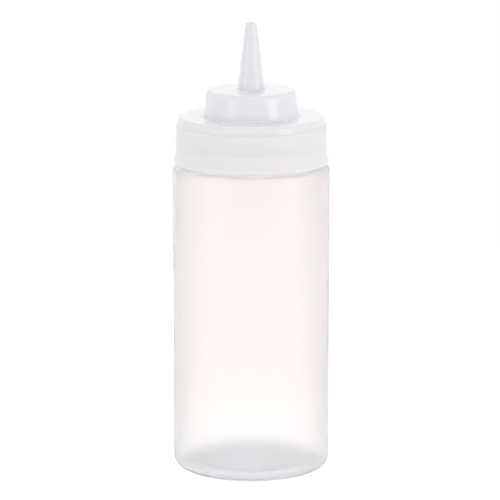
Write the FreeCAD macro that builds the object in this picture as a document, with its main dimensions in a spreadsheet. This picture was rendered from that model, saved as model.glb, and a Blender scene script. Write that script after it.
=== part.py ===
# Squeeze bottle with a screw cap and a tapered nozzle, as a parametric document.
#
# Millimetres, +Z up, origin at the middle of the base. The driving sizes are the cells
# of the sheet "Sizes", and every sketch, round and thread is bound to them. Both pieces
# are turned shapes: each is a Body with an outside Revolution, an inside Groove and a
# helical thread. The cap is drawn in its own frame, with zero height at the lower edge
# of its skirt, and its Placement seats it on the rim of the neck.
import FreeCAD, Part
import math
import os

import Sketcher

SIZES = {
    # the bottle's body
    "body_diameter": 71.0,        # at the shoulder
    "body_height": 139.2,         # from the ground to the top of the shoulder
    "body_taper": 0.1,           # by which the radius is smaller at the foot
    "body_wall": 1.0,
    "foot_round": 4.2,
    "shoulder_round": 2.8,
    "floor_thickness": 1.3,
    "ring_width": 4.2,            # the flat ring that the bottle stands on
    "recess_height": 2.0,         # of the base panel above the ring
    "recess_slope": 1.6,          # width of the bevel between ring and panel
    # its neck
    "shoulder_width": 4.6,        # from the body's side in to the neck
    "neck_height": 20.4,
    "neck_wall": 1.5,
    "lip_round": 0.5,
    # the thread, the same on the neck and in the cap
    "thread_pitch": 4.23,
    "thread_turns": 1.5,
    "thread_depth": 1.2,
    "thread_root": 2.2,           # its width where it leaves the wall
    "thread_crest": 1.0,          # its width at the top
    "thread_bite": 0.3,           # by which it is sunk in the wall
    "thread_drop": 11.5,          # from the rim down to the lower end of the neck's thread
    # how the cap fits the bottle
    "thread_clearance": 0.3,      # between a thread's crest and the wall it faces
    "collar_clearance": 0.3,      # between the neck and the cap's collar
    "skirt_gap": 0.7,             # between the skirt and the shoulder
    # the cap's skirt and disc
    "skirt_wall": 1.5,
    "skirt_draft": 0.2,
    "bead_height": 2.8,
    "bead_reach": 0.9,
    "bead_round": 0.85,
    "collar_height": 2.5,         # of the narrower bore that centres the cap on the neck
    "ledge_drop": 4.1,            # from the top of the disc down to the ledge
    "ledge_width": 0.6,
    "disc_thickness": 1.6,
    "disc_round": 2.1,
    # its raised step
    "step_diameter": 42.4,
    "step_height": 11.9,
    "step_draft": 1.3,
    "step_round": 2.2,
    "step_wall": 1.4,
    "step_hollow_round": 1.2,
    "step_ring_width": 1.0,
    "step_ring_height": 0.9,
    # its nozzle
    "nozzle_diameter": 12.0,
    "nozzle_height": 30.1,
    "nozzle_wall": 1.2,
    "nozzle_round": 1.0,
    "tip_diameter": 5.0,
    "tip_bevel": 0.7,
    "orifice_diameter": 2.6,
    "orifice_length": 2.0,
    # how far a cut runs past the face that it opens
    "cut_margin": 1.0,
}


class Length:
    """A size as a number, to place geometry, and as the expression that binds it."""

    def __init__(self, number, text):
        self.number = number
        self.text = text

    def __add__(self, other):
        return Length(self.number + other.number, f"({self.text} + {other.text})")

    def __sub__(self, other):
        return Length(self.number - other.number, f"({self.text} - {other.text})")

    def __truediv__(self, share):
        return Length(self.number / share, f"({self.text} / {share})")


ZERO = Length(0.0, "0")
doc = FreeCAD.newDocument("SqueezeBottle")


def size(name):
    return Length(SIZES[name], f"Sizes.{name}")


def fill_sheet():
    sheet = doc.addObject("Spreadsheet::Sheet", "Sizes")
    for row, (name, value) in enumerate(SIZES.items(), start=1):
        sheet.set(f"A{row}", name)
        sheet.set(f"B{row}", str(value))
        sheet.setAlias(f"B{row}", name)
    doc.recompute()


# ---------------------------------------------------------------- shared features

def new_body(label):
    body = doc.addObject("PartDesign::Body", label.capitalize())
    body.Label = label
    return body


def origin_plane(body, role):
    return next(item for item in body.Origin.OriginFeatures if item.Role == role)


def outline(body, name, corners):
    """A closed half outline in the XZ plane.

    Each corner is a radius, a height and, where it is rounded, the round's own radius.
    """
    sketch = body.newObject("Sketcher::SketchObject", name)
    sketch.AttachmentSupport = [(origin_plane(body, "XZ_Plane"), "")]
    sketch.MapMode = "FlatFace"
    places = [FreeCAD.Vector(radius.number, height.number, 0) for radius, height, *_ in corners]
    turns = []
    for number, (_, _, *rounding) in enumerate(corners):
        before, place, after = places[number - 1], places[number], places[(number + 1) % len(places)]
        turns.append(Turn(before, place, after, *rounding))
    for turn, following in zip(turns, turns[1:] + turns[:1]):
        sketch.addGeometry(Part.LineSegment(turn.leave, following.arrive))
    for number, (turn, (radius, height, *_)) in enumerate(zip(turns, corners)):
        place = turn.join(sketch, (number - 1) % len(corners), number)
        pin(sketch, place, "DistanceX", radius, axis=-2)
        pin(sketch, place, "DistanceY", height, axis=-1)
    return sketch


class Turn:
    """A corner between two lines of an outline, sharp or rounded by a tangent arc."""

    def __init__(self, before, place, after, rounding=None):
        self.place = place
        self.rounding = rounding
        self.arrive = place
        self.leave = place
        if rounding:
            back = (before - place).normalize()
            ahead = (after - place).normalize()
            half_angle = back.getAngle(ahead) / 2
            middle = (back + ahead).normalize()
            self.arrive = place + back * (rounding.number / math.tan(half_angle))
            self.leave = place + ahead * (rounding.number / math.tan(half_angle))
            self.centre = place + middle * (rounding.number / math.sin(half_angle))
            self.heading = math.atan2(-middle.y, -middle.x)
            self.half_sweep = math.pi / 2 - half_angle
            self.anticlockwise = ahead.cross(back).z > 0

    def join(self, sketch, line_before, line_after):
        """Joins the two lines, and returns the geometry whose start keeps the corner's place."""
        if not self.rounding:
            sketch.addConstraint(Sketcher.Constraint("Coincident", line_before, 2, line_after, 1))
            return line_after
        circle = Part.Circle(self.centre, FreeCAD.Vector(0, 0, 1), self.rounding.number)
        start, end = self.heading - self.half_sweep, self.heading + self.half_sweep
        arc = sketch.addGeometry(Part.ArcOfCircle(circle, start, end))
        first, last = (1, 2) if self.anticlockwise else (2, 1)
        corner = sketch.addGeometry(Part.Point(self.place), True)
        sketch.addConstraint(Sketcher.Constraint("Tangent", line_before, 2, arc, first))
        sketch.addConstraint(Sketcher.Constraint("Tangent", arc, last, line_after, 1))
        sketch.addConstraint(Sketcher.Constraint("PointOnObject", corner, 1, line_before))
        sketch.addConstraint(Sketcher.Constraint("PointOnObject", corner, 1, line_after))
        number = sketch.addConstraint(Sketcher.Constraint("Radius", arc, self.rounding.number))
        sketch.setExpression(f"Constraints[{number}]", self.rounding.text)
        return corner


def pin(sketch, place, kind, length, axis):
    """Binds one coordinate of a start point, or puts it on the axis where it is zero."""
    if length is ZERO:
        sketch.addConstraint(Sketcher.Constraint("PointOnObject", place, 1, axis))
        return
    number = sketch.addConstraint(Sketcher.Constraint(kind, -1, 1, place, 1, length.number))
    sketch.setExpression(f"Constraints[{number}]", length.text)


def turned(body, kind, name, points):
    """A full turn about the upright axis: a Revolution adds it and a Groove takes it away."""
    before = 0.0 if body.Tip is None else body.Shape.Volume
    sketch = outline(body, name + "Outline", points)
    feature = body.newObject("PartDesign::" + kind, name)
    feature.Profile = sketch
    feature.ReferenceAxis = (sketch, ["V_Axis"])
    feature.Angle = 360.0
    doc.recompute()
    grown = body.Shape.Volume - before
    if (grown <= 0) == (kind == "Revolution"):
        raise ValueError(f"{body.Label}: {name} changed the volume by {grown:.1f} mm3")
    return feature


def thread(body, wall, depth_sign, lower_end):
    """A right-hand trapezoid thread on a wall: outwards with depth_sign 1, inwards with -1."""
    bite = size("thread_bite")
    depth = size("thread_depth")
    if depth_sign > 0:
        sunk, crest = wall - bite, wall + depth
    else:
        sunk, crest = wall + bite, wall - depth
    half_root = size("thread_root") / 2
    half_crest = size("thread_crest") / 2
    profile = outline(body, "ThreadOutline", [
        (sunk, lower_end - half_root),
        (crest, lower_end - half_crest),
        (crest, lower_end + half_crest),
        (sunk, lower_end + half_root),
    ])
    helix = body.newObject("PartDesign::AdditiveHelix", "Thread")
    helix.Profile = profile
    helix.ReferenceAxis = (profile, ["V_Axis"])
    helix.Mode = "pitch-turns-angle"
    helix.Pitch = size("thread_pitch").number
    helix.Turns = size("thread_turns").number
    helix.setExpression("Pitch", size("thread_pitch").text)
    helix.setExpression("Turns", size("thread_turns").text)
    before = body.Shape.Volume
    doc.recompute()
    if body.Shape.Volume <= before:
        raise ValueError(f"{body.Label}: the thread added nothing")


# ---------------------------------------------------------------- levels and radii that are shared

fill_sheet()
body_radius = size("body_diameter") / 2
neck_radius = body_radius - size("shoulder_width")
rim_level = size("body_height") + size("neck_height")
cap_level = size("body_height") + size("skirt_gap")


# ---------------------------------------------------------------- the bottle

def build_bottle():
    body = new_body("bottle")
    foot_radius = body_radius - size("body_taper")
    recess_edge = foot_radius - size("foot_round") - size("ring_width")
    panel_edge = recess_edge - size("recess_slope")
    shoulder = size("body_height")
    lip = size("lip_round")
    turned(body, "Revolution", "Outside", [
        (ZERO, size("recess_height")),
        (panel_edge, size("recess_height")),
        (recess_edge, ZERO),
        (foot_radius, ZERO, size("foot_round")),
        (body_radius, shoulder, size("shoulder_round")),
        (neck_radius, shoulder),
        (neck_radius, rim_level, lip),
        (ZERO, rim_level),
    ])

    wall = size("body_wall")
    floor = size("floor_thickness")
    neck_bore = neck_radius - size("neck_wall")
    above = rim_level + size("cut_margin")
    turned(body, "Groove", "Inside", [
        (ZERO, size("recess_height") + floor),
        (panel_edge, size("recess_height") + floor),
        (recess_edge, floor),
        (foot_radius - wall, floor, size("foot_round") - wall),
        (body_radius - wall, shoulder - wall, size("shoulder_round") - wall),
        (neck_bore, shoulder - wall),
        (neck_bore, above),
        (ZERO, above),
    ])
    thread(body, neck_radius, 1, rim_level - size("thread_drop"))
    return body


# ---------------------------------------------------------------- the cap

def build_cap():
    body = new_body("cap")
    bore = neck_radius + size("thread_depth") + size("thread_clearance")
    skirt_foot = bore + size("skirt_wall")
    skirt_top = skirt_foot - size("skirt_draft")
    bead = skirt_foot + size("bead_reach")
    disc_radius = skirt_top - size("ledge_width")
    step_foot = size("step_diameter") / 2
    step_head = step_foot - size("step_draft")
    ring_radius = step_foot + size("step_ring_width")
    nozzle_foot = size("nozzle_diameter") / 2
    tip_radius = size("tip_diameter") / 2
    bevel = size("tip_bevel")

    seat = size("neck_height") - size("skirt_gap")
    disc_top = seat + size("disc_thickness")
    ledge = disc_top - size("ledge_drop")
    ring_top = disc_top + size("step_ring_height")
    step_top = disc_top + size("step_height")
    tip = step_top + size("nozzle_height")
    turned(body, "Revolution", "Outside", [
        (ZERO, ZERO),
        (bead, ZERO, size("bead_round")),
        (bead, size("bead_height"), size("bead_round")),
        (skirt_foot, size("bead_height")),
        (skirt_top, ledge),
        (disc_radius, ledge),
        (disc_radius, disc_top, size("disc_round")),
        (ring_radius, disc_top),
        (ring_radius, ring_top),
        (step_foot, ring_top),
        (step_head, step_top, size("step_round")),
        (nozzle_foot, step_top, size("nozzle_round")),
        (tip_radius, tip - bevel),
        (tip_radius - bevel, tip),
        (ZERO, tip),
    ])

    below = ZERO - size("cut_margin")
    above = tip + size("cut_margin")
    collar_bore = neck_radius + size("collar_clearance")
    collar_foot = seat - size("collar_height")
    step_bore = step_foot - size("step_wall")
    step_ceiling = step_top - size("step_wall")
    orifice = size("orifice_diameter") / 2
    turned(body, "Groove", "Inside", [
        (ZERO, below),
        (bore, below),
        (bore, collar_foot),
        (collar_bore, collar_foot),
        (collar_bore, seat),
        (step_bore, seat),
        (step_bore - size("step_draft"), step_ceiling, size("step_hollow_round")),
        (nozzle_foot - size("nozzle_wall"), step_ceiling),
        (orifice, tip - size("orifice_length")),
        (orifice, above),
        (ZERO, above),
    ])

    # The cap's thread runs half a pitch below the neck's, so it winds between its turns.
    neck_thread = seat - size("thread_drop")
    thread(body, bore, -1, neck_thread - size("thread_pitch") / 2)
    body.Placement.Base.z = cap_level.number
    body.setExpression("Placement.Base.z", cap_level.text)
    return body


# ---------------------------------------------------------------- checks and files

def check(pieces):
    doc.recompute()
    for item in doc.Objects:
        if {"Invalid", "Error"} & set(item.State):
            raise RuntimeError(f"{item.Label} did not build: {item.State}")
    for piece in pieces:
        if piece.Shape.isNull() or not piece.Shape.isValid() or len(piece.Shape.Solids) != 1:
            raise RuntimeError(f"{piece.Label} is not one valid solid")


def write(pieces):
    os.makedirs("parts", exist_ok=True)
    for piece in pieces:
        piece.Shape.exportStep(f"parts/{piece.Label}.step")
        print(f"{piece.Label}: {piece.Shape.Volume / 1000:.2f} cm3, top at {piece.Shape.BoundBox.ZMax:.2f} mm")


pieces = [build_bottle(), build_cap()]
check(pieces)
write(pieces)
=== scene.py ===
"""A milky squeeze bottle with a stepped nozzle cap.

Both pieces are turned: a half outline is drawn by extruding one vertex from corner to
corner, and spun about the upright axis. Lengths are metres, +Z is up, and the origin
is the middle of the base.
"""
from math import cos, pi, radians, sin, tan

import bpy
from bpy.props import FloatProperty, FloatVectorProperty, PointerProperty
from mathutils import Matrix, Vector


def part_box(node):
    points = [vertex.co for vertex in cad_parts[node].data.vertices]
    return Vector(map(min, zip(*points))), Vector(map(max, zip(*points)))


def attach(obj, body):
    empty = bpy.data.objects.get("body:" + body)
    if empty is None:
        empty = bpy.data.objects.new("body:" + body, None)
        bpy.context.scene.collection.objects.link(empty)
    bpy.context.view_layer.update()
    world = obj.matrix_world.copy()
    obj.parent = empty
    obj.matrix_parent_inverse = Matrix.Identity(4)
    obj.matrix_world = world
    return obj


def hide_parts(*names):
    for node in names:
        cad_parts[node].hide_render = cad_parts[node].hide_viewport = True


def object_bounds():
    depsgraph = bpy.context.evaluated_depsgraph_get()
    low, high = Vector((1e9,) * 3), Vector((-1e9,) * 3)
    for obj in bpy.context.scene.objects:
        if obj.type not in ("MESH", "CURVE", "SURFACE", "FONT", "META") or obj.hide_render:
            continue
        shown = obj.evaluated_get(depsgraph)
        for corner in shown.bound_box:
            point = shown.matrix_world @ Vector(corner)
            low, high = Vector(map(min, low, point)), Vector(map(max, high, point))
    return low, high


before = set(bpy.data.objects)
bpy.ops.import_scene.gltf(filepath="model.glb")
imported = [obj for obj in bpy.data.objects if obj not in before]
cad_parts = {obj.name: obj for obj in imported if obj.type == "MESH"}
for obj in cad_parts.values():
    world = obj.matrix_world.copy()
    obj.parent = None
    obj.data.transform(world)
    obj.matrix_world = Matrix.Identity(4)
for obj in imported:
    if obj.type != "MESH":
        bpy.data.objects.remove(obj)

CAD_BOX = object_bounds()
BOTTLE_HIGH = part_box("bottle")[1]
CAP_LOW, CAP_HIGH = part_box("cap")

bl_info = {
    "name": "Squeeze Bottle",
    "version": (1, 0, 0),
    "blender": (4, 5, 0),
    "location": "3D View > Sidebar > Squeeze Bottle",
    "description": "Builds a milky squeeze bottle with a stepped nozzle cap",
    "category": "Add Mesh",
}

MM = 0.001
WELD = MM / 500
THREAD_STEPS = 120
SHARPEST_SMOOTHED = radians(35)
RADIUS_LIMIT = min(-CAD_BOX[0].x, -CAD_BOX[0].y, CAD_BOX[1].x, CAD_BOX[1].y)


# ---------------------------------------------------------------- sizes and colours

def length(name, millimetres, description):
    return FloatProperty(name=name, description=description, default=millimetres * MM,
                         min=0.0, precision=5, subtype="DISTANCE", unit="LENGTH")


def colour(name, rgb, description):
    return FloatVectorProperty(name=name, description=description, default=rgb, size=3,
                               min=0.0, max=1.0, subtype="COLOR")


class BottleSizes(bpy.types.PropertyGroup):
    """Sizes of the blown bottle."""
    body_radius: length("Body radius", RADIUS_LIMIT / MM, "Outside radius at the shoulder")
    body_taper: length("Body taper", 0.1, "How much slimmer the body is at its foot")
    shoulder_level: length("Shoulder level", 139.2, "Height of the top of the shoulder")
    rim_level: length("Rim level", BOTTLE_HIGH.z / MM, "Height of the rim of the neck")
    foot_round: length("Foot round", 4.2, "Radius of the rounded foot")
    shoulder_round: length("Shoulder round", 2.8, "Radius of the rounded shoulder")
    wall: length("Wall", 1.0, "Thickness of the body's wall")
    floor_thickness: length("Floor thickness", 1.3, "Thickness of the floor")
    ring_width: length("Standing ring width", 4.2, "Flat ring that the bottle stands on")
    recess_height: length("Recess height", 2.0, "Height of the base panel above the ring")
    recess_slope: length("Recess slope", 2.4, "Width of the bevel round the base panel")
    recess_round: length("Recess round", 2.0, "Softening of the recess's edges")
    neck_radius: length("Neck radius", 30.9, "Outside radius of the neck")
    neck_wall: length("Neck wall", 1.5, "Thickness of the neck's wall")
    neck_round: length("Neck foot round", 0.6, "Softening where the neck leaves the shoulder")
    lip_round: length("Lip round", 0.5, "Radius of the rim's edge")


class ThreadSizes(bpy.types.PropertyGroup):
    """Sizes of the screw thread, which the neck and the cap share."""
    pitch: length("Pitch", 4.23, "Rise in one turn")
    depth: length("Depth", 1.2, "Height of the thread above its wall")
    root: length("Root width", 2.2, "Width where the thread leaves its wall")
    crest: length("Crest width", 1.0, "Width at the top of the thread")
    bite: length("Bite", 0.3, "How deep the thread is sunk in its wall")
    drop: length("Drop", 11.5, "From the rim down to the neck thread's lower end")
    turns: FloatProperty(name="Turns", description="Number of turns", default=1.5, min=0.1)


class CapSizes(bpy.types.PropertyGroup):
    """Sizes of the moulded cap; heights are measured on the whole bottle."""
    skirt_level: length("Skirt level", CAP_LOW.z / MM, "Height of the skirt's lower edge")
    tip_level: length("Tip level", CAP_HIGH.z / MM, "Height of the nozzle's tip")
    bore: length("Bore", 32.4, "Inside radius of the skirt")
    skirt_radius: length("Skirt radius", 33.9, "Outside radius above the bead")
    skirt_draft: length("Skirt draft", 0.2, "How much the skirt narrows upwards")
    bead_height: length("Bead height", 2.8, "Height of the bead round the skirt's foot")
    bead_reach: length("Bead reach", 0.9, "How far the bead stands out")
    bead_round: length("Bead round", 0.9, "Radius of the bead's edges")
    bead_fillet: length("Bead fillet", 1.2, "Softening between bead and skirt")
    collar_bore: length("Collar bore", 31.2, "Inside radius just under the disc")
    ledge_level: length("Ledge level", 157.1, "Height of the small ledge above the skirt")
    ledge_width: length("Ledge width", 0.6, "Width of that ledge")
    disc_level: length("Disc level", 161.2, "Height of the lower disc's top")
    disc_round: length("Disc round", 2.1, "Radius of the lower disc's edge")
    step_radius: length("Step radius", 21.2, "Radius of the raised step at its foot")
    step_level: length("Step level", 173.1, "Height of the step's top")
    step_draft: length("Step draft", 1.3, "How much the step narrows upwards")
    step_round: length("Step round", 2.2, "Radius of the step's edge")
    step_wall: length("Step wall", 1.4, "Thickness of the step's wall")
    ring_width: length("Ring width", 1.0, "Width of the flat ring round the step's foot")
    ring_height: length("Ring height", 0.6, "Height of that ring")
    nozzle_radius: length("Nozzle radius", 6.0, "Radius of the nozzle at its foot")
    nozzle_wall: length("Nozzle wall", 1.2, "Thickness of the nozzle's wall at its foot")
    nozzle_round: length("Nozzle round", 0.8, "Flare where the nozzle leaves the step")
    tip_radius: length("Tip radius", 2.5, "Radius of the nozzle at its tip")
    tip_bevel: length("Tip bevel", 0.7, "Bevel round the tip")
    orifice: length("Orifice radius", 1.3, "Radius of the opening in the tip")
    orifice_length: length("Orifice length", 2.0, "Length of the straight opening")
    edge_round: length("Edge round", 0.3, "Softening of the fine edges of skirt foot, ledge and ring")
    skirt_lip: length("Skirt lip", 0.3, "Height of the low bevel under the bead")
    skirt_lip_round: length("Skirt lip round", 0.4, "Softening where that bevel meets the bead")
    ledge_rise: length("Ledge rise", 0.3, "How much the ledge rises inwards")
    ring_slope: length("Ring slope", 0.2, "How much the flat ring narrows upwards")
    ring_foot_round: length("Ring foot round", 0.4, "Softening where the ring leaves the disc")
    step_foot_round: length("Step foot round", 0.5, "Softening where the step leaves the ring")
    step_bore_round: length("Step bore round", 1.2, "Softening of the step's inside edge")
    nozzle_bore_round: length("Nozzle bore round", 0.5, "Softening where the nozzle's bore starts")
    tip_round: length("Tip round", 0.1, "Softening of the tip's edges")
    lower_cut_level: length("Lower cut level", 180.1, "Height of the lower cut ring")
    upper_cut_level: length("Upper cut level", 196.0, "Height of the fainter, upper cut ring")
    cut_ring_width: length("Cut ring width", 0.55, "Width of the fine rings that mark where to cut")
    cut_ring_height: length("Cut ring height", 0.13, "How far the lower of those rings stands out")
    cut_ring_round: length("Cut ring round", 0.15, "Softening of their crests")


class BottleColours(bpy.types.PropertyGroup):
    """Colours of the two plastics and the floor, among them painted light and shade on the plastics."""
    bottle: colour("Bottle", (0.977, 0.954, 0.946), "Milky soft plastic of the bottle")
    bottle_shade: colour("Bottle shade", (0.971, 0.946, 0.935), "Its slightly thicker patches")
    # Painted shade: the bottle's wall is painted darker where it turns away from view.
    bottle_side_shade: colour("Bottle side", (0.952, 0.926, 0.918), "Its tone where the wall turns away")
    # Painted shade: the base panel is painted a cooler tone, for the floor's shadow seen through it.
    bottle_base_shade: colour("Bottle base", (0.95, 0.97, 1.0), "Cooler tone of the base panel")
    # Painted light: a paler, cooler tone painted on the bottle's edges as a rim highlight and on its foot
    # as light.
    bottle_rim_and_foot_light: colour("Bottle where thick", (0.978, 0.98, 1.0), "Cooler tint of its edges and foot")
    cap: colour("Cap", (0.812, 0.802, 0.848), "Denser plastic of the cap")
    cap_shade: colour("Cap shade", (0.81, 0.798, 0.835), "Its slightly warmer patches")
    skirt: colour("Skirt", (0.838, 0.82, 0.835), "Paler tone of the cap's matt skirt")
    # Painted light: the upward faces are painted this paler tone for the light from above.
    top: colour("Tops", (0.915, 0.905, 0.935), "Pale tone of the polished tops of disc and step")
    floor: colour("Floor", (0.8, 0.8, 0.8), "Pale floor")


# ---------------------------------------------------------------- modelling by hand

def outline(corners, arc_steps=8, longest=None):
    """The points of a half outline; a corner is a radius, a height and its round, if any."""
    points = []
    places = [Vector(corner[:2]) for corner in corners]
    for number, corner in enumerate(corners):
        place = places[number]
        if len(corner) == 2 or not corner[2]:
            points.append(place)
            continue
        back = (places[number - 1] - place).normalized()
        ahead = (places[(number + 1) % len(places)] - place).normalized()
        half_angle = back.angle(ahead) / 2
        middle = (back + ahead).normalized()
        centre = place + middle * (corner[2] / sin(half_angle))
        first = place + back * (corner[2] / tan(half_angle)) - centre
        turn = (pi - 2 * half_angle) * (1 if ahead.cross(back) > 0 else -1)
        for step in range(arc_steps + 1):
            angle = turn * step / arc_steps
            points.append(centre + Vector((first.x * cos(angle) - first.y * sin(angle),
                                           first.x * sin(angle) + first.y * cos(angle))))
    return divided(points, longest) if longest else points


def divided(points, longest):
    """The same outline with its long straights cut into equal runs."""
    result = []
    for start, end in zip(points, points[1:]):
        runs = max(1, round((end - start).length / longest))
        result += [start.lerp(end, run / runs) for run in range(runs)]
    return result + [points[-1]]


def only_select(*objects):
    bpy.ops.object.select_all(action="DESELECT")
    for item in objects:
        item.select_set(True)
    bpy.context.view_layer.objects.active = objects[0]


def draw(points, closed=False):
    """Draws an outline in the XZ plane by extruding a single vertex, and stays in edit mode."""
    bpy.ops.object.select_all(action="DESELECT")
    start = points[0]
    bpy.ops.mesh.primitive_circle_add(vertices=3, radius=MM, location=(0, 0, 0))
    bpy.ops.object.mode_set(mode="EDIT")
    bpy.ops.mesh.select_mode(type="VERT")
    bpy.ops.mesh.merge(type="CENTER")
    bpy.ops.transform.translate(value=(start.x, 0, start.y))
    for before, after in zip(points, points[1:]):
        step = (after.x - before.x, 0, after.y - before.y)
        bpy.ops.mesh.extrude_region_move(TRANSFORM_OT_translate={"value": step})
    if closed:
        bpy.ops.mesh.select_all(action="SELECT")
        bpy.ops.mesh.remove_doubles(threshold=WELD / 2)


def turned(name, points, segments, closed=False):
    """A turned piece: the outline, spun about the upright axis and joined up."""
    draw(points + points[:1] if closed else points, closed)
    bpy.ops.mesh.select_all(action="SELECT")
    bpy.ops.mesh.spin(steps=segments, angle=2 * pi, center=(0, 0, 0), axis=(0, 0, 1))
    bpy.ops.mesh.select_all(action="SELECT")
    bpy.ops.mesh.remove_doubles(threshold=WELD)
    bpy.ops.mesh.normals_make_consistent(inside=False)
    bpy.ops.object.mode_set(mode="OBJECT")
    return named(name)


def named(name):
    piece = bpy.context.active_object
    piece.name = name
    piece.data.name = name
    return piece


def apply_modifier(piece, kind, **settings):
    only_select(piece)
    modifier = piece.modifiers.new(kind.title(), kind)
    for key, value in settings.items():
        setattr(modifier, key, value)
    bpy.ops.object.modifier_apply(modifier=modifier.name)


def smooth(piece):
    only_select(piece)
    bpy.ops.object.shade_smooth_by_angle(angle=SHARPEST_SMOOTHED)


def finish_piece(piece, material, slot, *nodes):
    """Gives a piece its material and says which solids it stands for; its slot is not used."""
    piece.data.materials.clear()
    piece.data.materials.append(material)
    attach(piece, "root")
    if nodes:
        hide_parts(*nodes)


def screw_thread(name, wall, outwards, lower_end, sizes):
    """A trapezoid ridge that winds up a wall, on its outside or its inside."""
    sign = 1 if outwards else -1
    sunk = wall - sign * sizes.bite
    crest = wall + sign * sizes.depth
    section = [
        Vector((sunk, lower_end - sizes.root / 2)),
        Vector((crest, lower_end - sizes.crest / 2)),
        Vector((crest, lower_end + sizes.crest / 2)),
        Vector((sunk, lower_end + sizes.root / 2)),
    ]
    draw(section + section[:1], closed=True)
    bpy.ops.mesh.select_all(action="SELECT")
    bpy.ops.mesh.edge_face_add()
    bpy.ops.object.mode_set(mode="OBJECT")
    thread = named(name)
    apply_modifier(thread, "SCREW", angle=2 * pi * sizes.turns, screw_offset=sizes.pitch * sizes.turns,
                   steps=THREAD_STEPS, render_steps=THREAD_STEPS, use_merge_vertices=False)
    only_select(thread)
    bpy.ops.object.mode_set(mode="EDIT")
    bpy.ops.mesh.select_all(action="SELECT")
    bpy.ops.mesh.remove_doubles(threshold=WELD)
    bpy.ops.mesh.normals_make_consistent(inside=False)
    bpy.ops.object.mode_set(mode="OBJECT")
    smooth(thread)
    return thread


# ---------------------------------------------------------------- material building

def new_material(name):
    material = bpy.data.materials.new(name)
    material.use_nodes = True
    material.node_tree.nodes.clear()
    return material, material.node_tree


def node(tree, kind, settings=None, **inputs):
    """Adds a node; an input given as a socket is linked, and any other value is set."""
    made = tree.nodes.new(kind)
    for key, value in (settings or {}).items():
        setattr(made, key, value)
    for key, value in inputs.items():
        socket = made.inputs[int(key[1:]) if key[0] == "i" and key[1:].isdigit() else key.replace("_", " ")]
        if isinstance(value, bpy.types.NodeSocket):
            tree.links.new(value, socket)
        else:
            socket.default_value = value
    return made


def new_group(name, inputs, outputs):
    group = bpy.data.node_groups.new(name, "ShaderNodeTree")
    for label, kind, default in inputs:
        socket = group.interface.new_socket(label, in_out="INPUT", socket_type=kind)
        if default is not None:
            socket.default_value = default
    for label, kind in outputs:
        group.interface.new_socket(label, in_out="OUTPUT", socket_type=kind)
    return group, group.nodes.new("NodeGroupInput").outputs, group.nodes.new("NodeGroupOutput").inputs


def use_group(tree, group, **inputs):
    return node(tree, "ShaderNodeGroup", {"node_tree": group}, **inputs).outputs


def graded(tree, value, start, end, low=0.0, high=1.0):
    """Goes smoothly from low to high while the value goes from start to end."""
    return node(tree, "ShaderNodeMapRange", {"interpolation_type": "SMOOTHSTEP"}, Value=value,
                From_Min=start, From_Max=end, To_Min=low, To_Max=high).outputs[0]


def sloped(tree, value, start, end, low=0.0, high=1.0):
    """Goes evenly from low to high while the value goes from start to end."""
    return node(tree, "ShaderNodeMapRange", Value=value,
                From_Min=start, From_Max=end, To_Min=low, To_Max=high).outputs[0]


def worked_out(tree, operation, *terms):
    """The result of a sum, a product or the like."""
    inputs = {f"i{number}": term for number, term in enumerate(terms)}
    return node(tree, "ShaderNodeMath", {"operation": operation}, **inputs).outputs[0]


def painted(tree, amount, under, over):
    """One colour painted over another by the given amount."""
    return node(tree, "ShaderNodeMix", {"data_type": "RGBA"}, Factor=amount, i6=under, i7=over).outputs[2]


def opaque(rgb):
    return (*rgb, 1.0)


def drifting_tint():
    """A colour that drifts to a second one in soft patches, as plastic of uneven thickness does."""
    group, given, result = new_group("Drifting tint", [
        ("Position", "NodeSocketVector", None),
        ("Colour", "NodeSocketColor", None),
        ("Shade", "NodeSocketColor", None),
        ("Patches per metre", "NodeSocketFloat", 25.0),
    ], [("Colour", "NodeSocketColor")])
    patches = node(group, "ShaderNodeTexNoise", Vector=given["Position"],
                   Scale=given["Patches per metre"], Detail=3.0, Roughness=0.5).outputs["Fac"]
    amount = graded(group, patches, 0.35, 0.65)
    group.links.new(painted(group, amount, given["Colour"], given["Shade"]), result["Colour"])
    return group


def moulded_skin():
    """Roughness and relief of moulded plastic: fine grain, drawn lines and light rubbing."""
    group, given, result = new_group("Moulded skin", [
        ("Position", "NodeSocketVector", None),
        ("Roughness", "NodeSocketFloat", 0.3),
        ("Spread", "NodeSocketFloat", 0.08),
        ("Grain per metre", "NodeSocketFloat", 900.0),
        ("Lines", "NodeSocketFloat", 0.3),
    ], [("Roughness", "NodeSocketFloat"), ("Height", "NodeSocketFloat")])
    grain = node(group, "ShaderNodeTexNoise", Vector=given["Position"],
                 Scale=given["Grain per metre"], Detail=4.0, Roughness=0.6).outputs["Fac"]
    stretched = node(group, "ShaderNodeMapping", Vector=given["Position"], Scale=(1.0, 1.0, 0.04))
    lines = node(group, "ShaderNodeTexNoise", Vector=stretched.outputs[0], Scale=420.0, Detail=2.0)
    rubbing = node(group, "ShaderNodeTexNoise", Vector=given["Position"], Scale=60.0, Detail=5.0,
                   Roughness=0.65).outputs["Fac"]
    drawn = worked_out(group, "MULTIPLY", lines.outputs["Fac"], given["Lines"])
    group.links.new(worked_out(group, "ADD", grain, drawn), result["Height"])
    centred = worked_out(group, "SUBTRACT", rubbing, 0.5)
    rough = worked_out(group, "MULTIPLY_ADD", centred, given["Spread"], given["Roughness"])
    group.links.new(rough, result["Roughness"])
    return group


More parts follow.
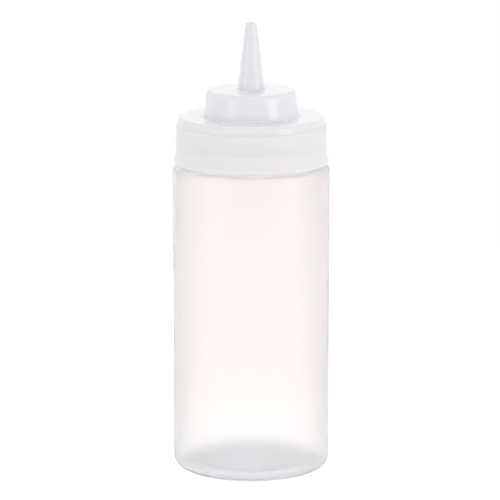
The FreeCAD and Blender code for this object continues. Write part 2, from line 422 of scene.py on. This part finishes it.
def bottle_plastic(colours, tint, skin, sizes):
    """Milky low-density plastic, blown thin: warm where light passes, with painted shade where the wall
    turns away, a paler, cooler painted highlight on its edges and painted light on its foot, and a painted
    cool shade on its base panel.
    """
    material, tree = new_material("Milky bottle plastic")
    position = node(tree, "ShaderNodeTexCoord").outputs["Object"]
    apart = node(tree, "ShaderNodeSeparateXYZ", Vector=position).outputs
    height = apart["Z"]
    around = node(tree, "ShaderNodeCombineXYZ", X=apart["X"], Y=apart["Y"]).outputs[0]
    radius = node(tree, "ShaderNodeVectorMath", {"operation": "LENGTH"}, i0=around).outputs["Value"]
    facing = node(tree, "ShaderNodeLayerWeight", Blend=0.5).outputs["Facing"]

    wall = use_group(tree, tint, Position=position, Colour=opaque(colours.bottle),
                     Shade=opaque(colours.bottle_shade))["Colour"]
    # Painted shade: the wall is painted darker and warmer where it turns away from view.
    side_shade_amount = graded(tree, facing, 0.1, 0.5)
    paint = painted(tree, side_shade_amount, wall, opaque(colours.bottle_side_shade))
    # Painted light: edges seen edge-on and the foot are painted paler and cooler, a painted rim highlight
    # and painted light on the foot.
    at_edge = graded(tree, facing, 0.6, 0.85)
    at_foot = graded(tree, height, 4 * sizes.foot_round, sizes.floor_thickness)
    rim_and_foot_light = worked_out(tree, "MAXIMUM", at_edge, at_foot)
    paint = painted(tree, rim_and_foot_light, paint, opaque(colours.bottle_rim_and_foot_light))
    # Painted shade: a cooler tone painted on the base panel, for the shaded floor beneath it.
    recess = sizes.body_radius - sizes.foot_round - sizes.ring_width
    within_recess = graded(tree, radius, recess, recess - sizes.recess_slope)
    on_base = worked_out(tree, "MULTIPLY", within_recess, at_foot)
    paint = painted(tree, on_base, paint, opaque(colours.bottle_base_shade))

    gloss = sloped(tree, radius, sizes.body_radius - 0.6 * sizes.wall,
                   sizes.body_radius - 0.4 * sizes.wall, high=0.6)
    wall_rough = graded(tree, height, 0.0, sizes.shoulder_level / 2, low=0.34, high=0.49)
    at_shoulder = graded(tree, height, sizes.shoulder_level - 1.4 * sizes.shoulder_round,
                         sizes.shoulder_level - sizes.shoulder_round)
    rough = node(tree, "ShaderNodeMix", {"data_type": "FLOAT"}, Factor=at_shoulder,
                 i2=wall_rough, i3=0.95)
    surface = use_group(tree, skin, Position=position, Roughness=rough.outputs[0])
    relief = node(tree, "ShaderNodeBump", Strength=0.1, Distance=0.2 * MM, Height=surface["Height"])
    shader = node(tree, "ShaderNodeBsdfPrincipled", Base_Color=paint, IOR=1.145,
                  Roughness=surface["Roughness"], Normal=relief.outputs[0],
                  Transmission_Weight=0.93, Coat_Weight=gloss, Coat_Roughness=0.25)
    node(tree, "ShaderNodeOutputMaterial", Surface=shader.outputs[0])
    return material


def cap_plastic(colours, tint, skin, sizes):
    """The cap's denser plastic: polished tops, satin sides and a finely matt skirt, with a paler tone
    painted on the tops as light from above.
    """
    material, tree = new_material("Milky cap plastic")
    place = node(tree, "ShaderNodeTexCoord").outputs
    position = place["Object"]
    height = node(tree, "ShaderNodeSeparateXYZ", Vector=position).outputs["Z"]
    upright = node(tree, "ShaderNodeSeparateXYZ", Vector=place["Normal"]).outputs["Z"]
    on_skirt = sloped(tree, height, sizes.ledge_level + sizes.ledge_width, sizes.ledge_level)
    on_top = graded(tree, upright, 0.88, 0.99)

    sides = use_group(tree, tint, Position=position, Colour=opaque(colours.cap),
                      Shade=opaque(colours.cap_shade))["Colour"]
    paint = painted(tree, on_skirt, sides, opaque(colours.skirt))
    # Painted light: upward faces take the paler tops colour for the light falling on them from above.
    paint = painted(tree, on_top, paint, opaque(colours.top))

    side_rough = sloped(tree, on_skirt, 0.0, 1.0, low=0.28, high=0.5)
    rough = node(tree, "ShaderNodeMix", {"data_type": "FLOAT"}, Factor=on_top, i2=side_rough, i3=0.06)
    surface = use_group(tree, skin, Position=position, Roughness=rough.outputs[0], Spread=0.04,
                        Lines=0.0)
    relief = node(tree, "ShaderNodeBump", Strength=0.05, Distance=0.1 * MM, Height=surface["Height"])
    shader = node(tree, "ShaderNodeBsdfPrincipled", Base_Color=paint, IOR=1.5,
                  Roughness=surface["Roughness"], Normal=relief.outputs[0],
                  Coat_Weight=on_top, Coat_Roughness=0.06, Transmission_Weight=0.1,
                  Subsurface_Weight=0.4, Subsurface_Radius=(1.0, 0.98, 0.95),
                  Subsurface_Scale=3 * MM)
    node(tree, "ShaderNodeOutputMaterial", Surface=shader.outputs[0])
    return material


# ---------------------------------------------------------------- the operators

class AddBottle(bpy.types.Operator):
    """Add the blown bottle with its neck thread"""
    bl_idname = "squeeze_bottle.add_bottle"
    bl_label = "Bottle"

    def execute(self, context):
        sizes = context.scene.squeeze_bottle_body
        thread = context.scene.squeeze_bottle_thread
        shell = turned("bottle_shell", self.wall_outline(sizes), segments=192)
        apply_modifier(shell, "DISPLACE", texture=self.wall_unevenness(), texture_coords="LOCAL",
                       strength=0.06 * MM, mid_level=1.0)
        smooth(shell)
        ridge = screw_thread("neck_thread", sizes.neck_radius, True, sizes.rim_level - thread.drop, thread)
        only_select(shell, ridge)
        bpy.ops.object.join()
        plastic = bpy.data.materials["Milky bottle plastic"]
        finish_piece(shell, plastic, "bottle_plastic", "bottle")
        return {"FINISHED"}

    def wall_outline(self, sizes):
        foot = sizes.body_radius - sizes.body_taper
        recess = foot - sizes.foot_round - sizes.ring_width
        panel = recess - sizes.recess_slope
        wall = sizes.wall
        floor = sizes.floor_thickness
        neck_bore = sizes.neck_radius - sizes.neck_wall
        rim = sizes.rim_level
        return outline([
            (0.0, sizes.recess_height),
            (panel, sizes.recess_height, sizes.recess_round),
            (recess, 0.0, sizes.recess_round),
            (foot, 0.0, sizes.foot_round),
            (sizes.body_radius, sizes.shoulder_level, sizes.shoulder_round),
            (sizes.neck_radius, sizes.shoulder_level, sizes.neck_round),
            (sizes.neck_radius, rim, sizes.lip_round),
            (neck_bore, rim, sizes.lip_round),
            (neck_bore, sizes.shoulder_level - wall, sizes.neck_round),
            (sizes.body_radius - wall, sizes.shoulder_level - wall, sizes.shoulder_round - wall),
            (foot - wall, floor, sizes.foot_round - wall),
            (recess, floor, sizes.recess_round),
            (panel, sizes.recess_height + floor, sizes.recess_round),
            (0.0, sizes.recess_height + floor),
        ], arc_steps=8, longest=2 * MM)

    def wall_unevenness(self):
        clouds = bpy.data.textures.new("Wall unevenness", "CLOUDS")
        clouds.noise_scale = 0.05
        return clouds


class AddCap(bpy.types.Operator):
    """Add the moulded cap with its skirt, discs, nozzle and inside thread"""
    bl_idname = "squeeze_bottle.add_cap"
    bl_label = "Cap"

    def execute(self, context):
        sizes = context.scene.squeeze_bottle_cap
        body = context.scene.squeeze_bottle_body
        thread = context.scene.squeeze_bottle_thread
        shell = turned("cap_shell", self.wall_outline(sizes, body.rim_level), segments=160, closed=True)
        smooth(shell)
        lower_end = body.rim_level - thread.drop - thread.pitch / 2
        ridge = screw_thread("cap_thread", sizes.bore, False, lower_end, thread)
        only_select(shell, ridge)
        bpy.ops.object.join()
        plastic = bpy.data.materials["Milky cap plastic"]
        finish_piece(shell, plastic, "cap_plastic", "cap")
        return {"FINISHED"}

    def wall_outline(self, sizes, seat):
        skirt_foot = sizes.skirt_level
        skirt_top = sizes.skirt_radius - sizes.skirt_draft
        bead = sizes.skirt_radius + sizes.bead_reach
        disc = skirt_top - sizes.ledge_width
        step_top = sizes.step_radius - sizes.step_draft
        step_bore = sizes.step_radius - sizes.step_wall
        ceiling = sizes.step_level - sizes.step_wall
        ring = sizes.step_radius + sizes.ring_width
        ring_top = sizes.disc_level + sizes.ring_height
        tip = sizes.tip_level
        corners = [
            (sizes.bore, skirt_foot + sizes.bead_round),
            (bead - sizes.bead_round, skirt_foot, sizes.edge_round),
            (bead, skirt_foot + sizes.skirt_lip, sizes.skirt_lip_round),
            (bead, skirt_foot + sizes.bead_height - sizes.bead_reach, sizes.bead_round),
            (sizes.skirt_radius, skirt_foot + sizes.bead_height, sizes.bead_fillet),
            (skirt_top, sizes.ledge_level, sizes.edge_round),
            (disc, sizes.ledge_level + sizes.ledge_rise, sizes.edge_round),
            (disc, sizes.disc_level, sizes.disc_round),
            (ring, sizes.disc_level, sizes.ring_foot_round),
            (ring - sizes.ring_slope, ring_top, sizes.edge_round),
            (sizes.step_radius, ring_top, sizes.step_foot_round),
            (step_top, sizes.step_level, sizes.step_round),
            (sizes.nozzle_radius, sizes.step_level, sizes.nozzle_round),
            *self.cut_rings(sizes),
            (sizes.tip_radius, tip - sizes.tip_bevel, sizes.tip_round),
            (sizes.tip_radius - sizes.tip_bevel, tip, sizes.tip_round),
            (sizes.orifice, tip, sizes.tip_round),
            (sizes.orifice, tip - sizes.orifice_length),
            (sizes.nozzle_radius - sizes.nozzle_wall, ceiling, sizes.nozzle_bore_round),
            (step_bore - sizes.step_draft, ceiling, sizes.step_bore_round),
            (step_bore, seat),
            (sizes.collar_bore, seat),
            (sizes.collar_bore, sizes.ledge_level),
            (sizes.bore, sizes.ledge_level),
        ]
        return outline(corners, arc_steps=6, longest=1.2 * MM)

    def cut_rings(self, sizes):
        """The corners of two fine ridges round the nozzle, which mark where to cut it."""
        rise = sizes.tip_level - sizes.tip_bevel - sizes.step_level
        corners = []
        for level, stand_out in ((sizes.lower_cut_level, 1.0), (sizes.upper_cut_level, 0.6)):
            share = (level - sizes.step_level) / rise
            radius = sizes.nozzle_radius + (sizes.tip_radius - sizes.nozzle_radius) * share
            half = sizes.cut_ring_width / 2
            slope = (sizes.nozzle_radius - sizes.tip_radius) / rise * half
            corners += [
                (radius + slope, level - half),
                (radius + sizes.cut_ring_height * stand_out, level, sizes.cut_ring_round),
                (radius - slope, level + half),
            ]
        return corners


class AddMaterials(bpy.types.Operator):
    """Make the two milky plastics"""
    bl_idname = "squeeze_bottle.add_materials"
    bl_label = "Plastics"

    def execute(self, context):
        colours = context.scene.squeeze_bottle_colours
        tint = drifting_tint()
        skin = moulded_skin()
        bottle_plastic(colours, tint, skin, context.scene.squeeze_bottle_body)
        cap_plastic(colours, tint, skin, context.scene.squeeze_bottle_cap)
        return {"FINISHED"}


class AddStage(bpy.types.Operator):
    """Add the pale floor, the soft lamps, the white surroundings and the camera"""
    bl_idname = "squeeze_bottle.add_stage"
    bl_label = "Stage"

    def execute(self, context):
        scene = context.scene
        scene.view_settings.view_transform = "Standard"
        self.floor(scene.squeeze_bottle_colours)
        self.surroundings(scene)
        self.lamp("Right softbox", (0.92, -0.60, 0.2), size=(0.4, 0.5), brightness=3.8)
        self.lamp("Left softbox", (-0.90, -0.68, 0.2), size=(0.45, 0.5), brightness=2.5)
        self.camera(scene)
        return {"FINISHED"}

    def clear_ray(self, tree):
        """One where a ray comes from the camera or through clear plastic."""
        path = node(tree, "ShaderNodeLightPath").outputs
        return worked_out(tree, "MAXIMUM", path["Is Camera Ray"], path["Is Transmission Ray"])

    def floor(self, colours):
        """A pale matt disc, with a glow that lifts it to white where it isn't in shadow, and a painted pool
        of light under and round the bottle that rays through the plastic see.
        """
        bpy.ops.object.select_all(action="DESELECT")
        bpy.ops.mesh.primitive_circle_add(vertices=96, radius=0.5, fill_type="NGON")
        floor = named("floor")
        material, tree = new_material("Pale floor")
        position = node(tree, "ShaderNodeTexCoord").outputs["Object"]
        mottle = node(tree, "ShaderNodeTexNoise", Vector=position, Scale=9.0, Detail=3.0).outputs["Fac"]
        tone = sloped(tree, mottle, 0.0, 1.0, low=0.97, high=1.0)
        paint = node(tree, "ShaderNodeMix", {"data_type": "RGBA", "blend_type": "MULTIPLY"}, Factor=1.0,
                     i6=opaque(colours.floor), i7=tone)
        matt = node(tree, "ShaderNodeBsdfDiffuse", Color=paint.outputs[2])
        away = node(tree, "ShaderNodeVectorMath", {"operation": "LENGTH"}, i0=position)
        # Painted light: a brighter glow painted under and near the bottle, seen only through the plastic.
        painted_pool_of_light = graded(tree, away.outputs["Value"], 0.2, 0.05, low=0.28, high=0.452)
        path = node(tree, "ShaderNodeLightPath").outputs
        lifts = {"Is Camera Ray": 0.5, "Is Glossy Ray": 0.2, "Is Transmission Ray": painted_pool_of_light}
        lift = 0.0
        for ray, amount in lifts.items():
            lift = worked_out(tree, "MAXIMUM", worked_out(tree, "MULTIPLY", path[ray], amount), lift)
        glow = node(tree, "ShaderNodeEmission", Strength=lift)
        both = node(tree, "ShaderNodeAddShader", i0=matt.outputs[0], i1=glow.outputs[0])
        node(tree, "ShaderNodeOutputMaterial", Surface=both.outputs[0])
        floor.data.materials.append(material)

    def surroundings(self, scene):
        """White all round, and a little weaker as a light from the front than from the back."""
        world = bpy.data.worlds.new("White surroundings")
        world.use_nodes = True
        tree = world.node_tree
        tree.nodes.clear()
        direction = node(tree, "ShaderNodeTexCoord").outputs["Generated"]
        backwards = node(tree, "ShaderNodeSeparateXYZ", Vector=direction).outputs["Y"]
        level = graded(tree, backwards, -0.7, 0.4, low=0.92, high=1.0)
        seen = worked_out(tree, "MAXIMUM", level, self.clear_ray(tree))
        light = node(tree, "ShaderNodeBackground", Color=(1.0, 1.0, 1.0, 1.0), Strength=seen)
        node(tree, "ShaderNodeOutputWorld", Surface=light.outputs[0])
        scene.world = world

    def lamp(self, name, place, size, brightness, aim=(0, 0, 0.1)):
        """A soft rectangular lamp of the given brightness per area, turned to the bottle."""
        data = bpy.data.lights.new(name, "AREA")
        data.shape = "RECTANGLE"
        data.size, data.size_y = size
        data.energy = brightness * pi * size[0] * size[1]
        lamp = bpy.data.objects.new(name, data)
        bpy.context.collection.objects.link(lamp)
        lamp.location = place
        lamp.rotation_euler = (Vector(aim) - Vector(place)).to_track_quat("-Z", "Y").to_euler()

    def camera(self, scene, place=(0, -1.3969, 0.39465), downwards=11.93):
        """A long lens, which looks slightly down on the bottle."""
        data = bpy.data.cameras.new("Camera")
        data.lens = 226.9
        data.sensor_width = 36.0
        data.shift_x = -0.0024
        camera = bpy.data.objects.new("Camera", data)
        scene.collection.objects.link(camera)
        camera.location = place
        camera.rotation_euler = (radians(90 - downwards), 0, 0)
        scene.camera = camera


class BottlePanel(bpy.types.Panel):
    """Lists the sizes and colours, and the buttons that build the bottle"""
    bl_idname = "VIEW3D_PT_squeeze_bottle"
    bl_label = "Squeeze Bottle"
    bl_space_type = "VIEW_3D"
    bl_region_type = "UI"
    bl_category = "Squeeze Bottle"

    def draw(self, context):
        for group in SETTINGS:
            settings = getattr(context.scene, group)
            box = self.layout.box()
            for key in settings.__annotations__:
                box.prop(settings, key)
        for operator in OPERATORS:
            self.layout.operator(operator.bl_idname)


SETTINGS = {
    "squeeze_bottle_body": BottleSizes,
    "squeeze_bottle_thread": ThreadSizes,
    "squeeze_bottle_cap": CapSizes,
    "squeeze_bottle_colours": BottleColours,
}
OPERATORS = (AddMaterials, AddBottle, AddCap, AddStage)


def register():
    for name, group in SETTINGS.items():
        bpy.utils.register_class(group)
        setattr(bpy.types.Scene, name, PointerProperty(type=group))
    for operator in OPERATORS:
        bpy.utils.register_class(operator)
    bpy.utils.register_class(BottlePanel)


def unregister():
    bpy.utils.unregister_class(BottlePanel)
    for operator in reversed(OPERATORS):
        bpy.utils.unregister_class(operator)
    for name, group in reversed(SETTINGS.items()):
        delattr(bpy.types.Scene, name)
        bpy.utils.unregister_class(group)


def main():
    register()
    bpy.ops.squeeze_bottle.add_materials()
    bpy.ops.squeeze_bottle.add_bottle()
    bpy.ops.squeeze_bottle.add_cap()
    bpy.ops.squeeze_bottle.add_stage()


if __name__ == "__main__":
    main()
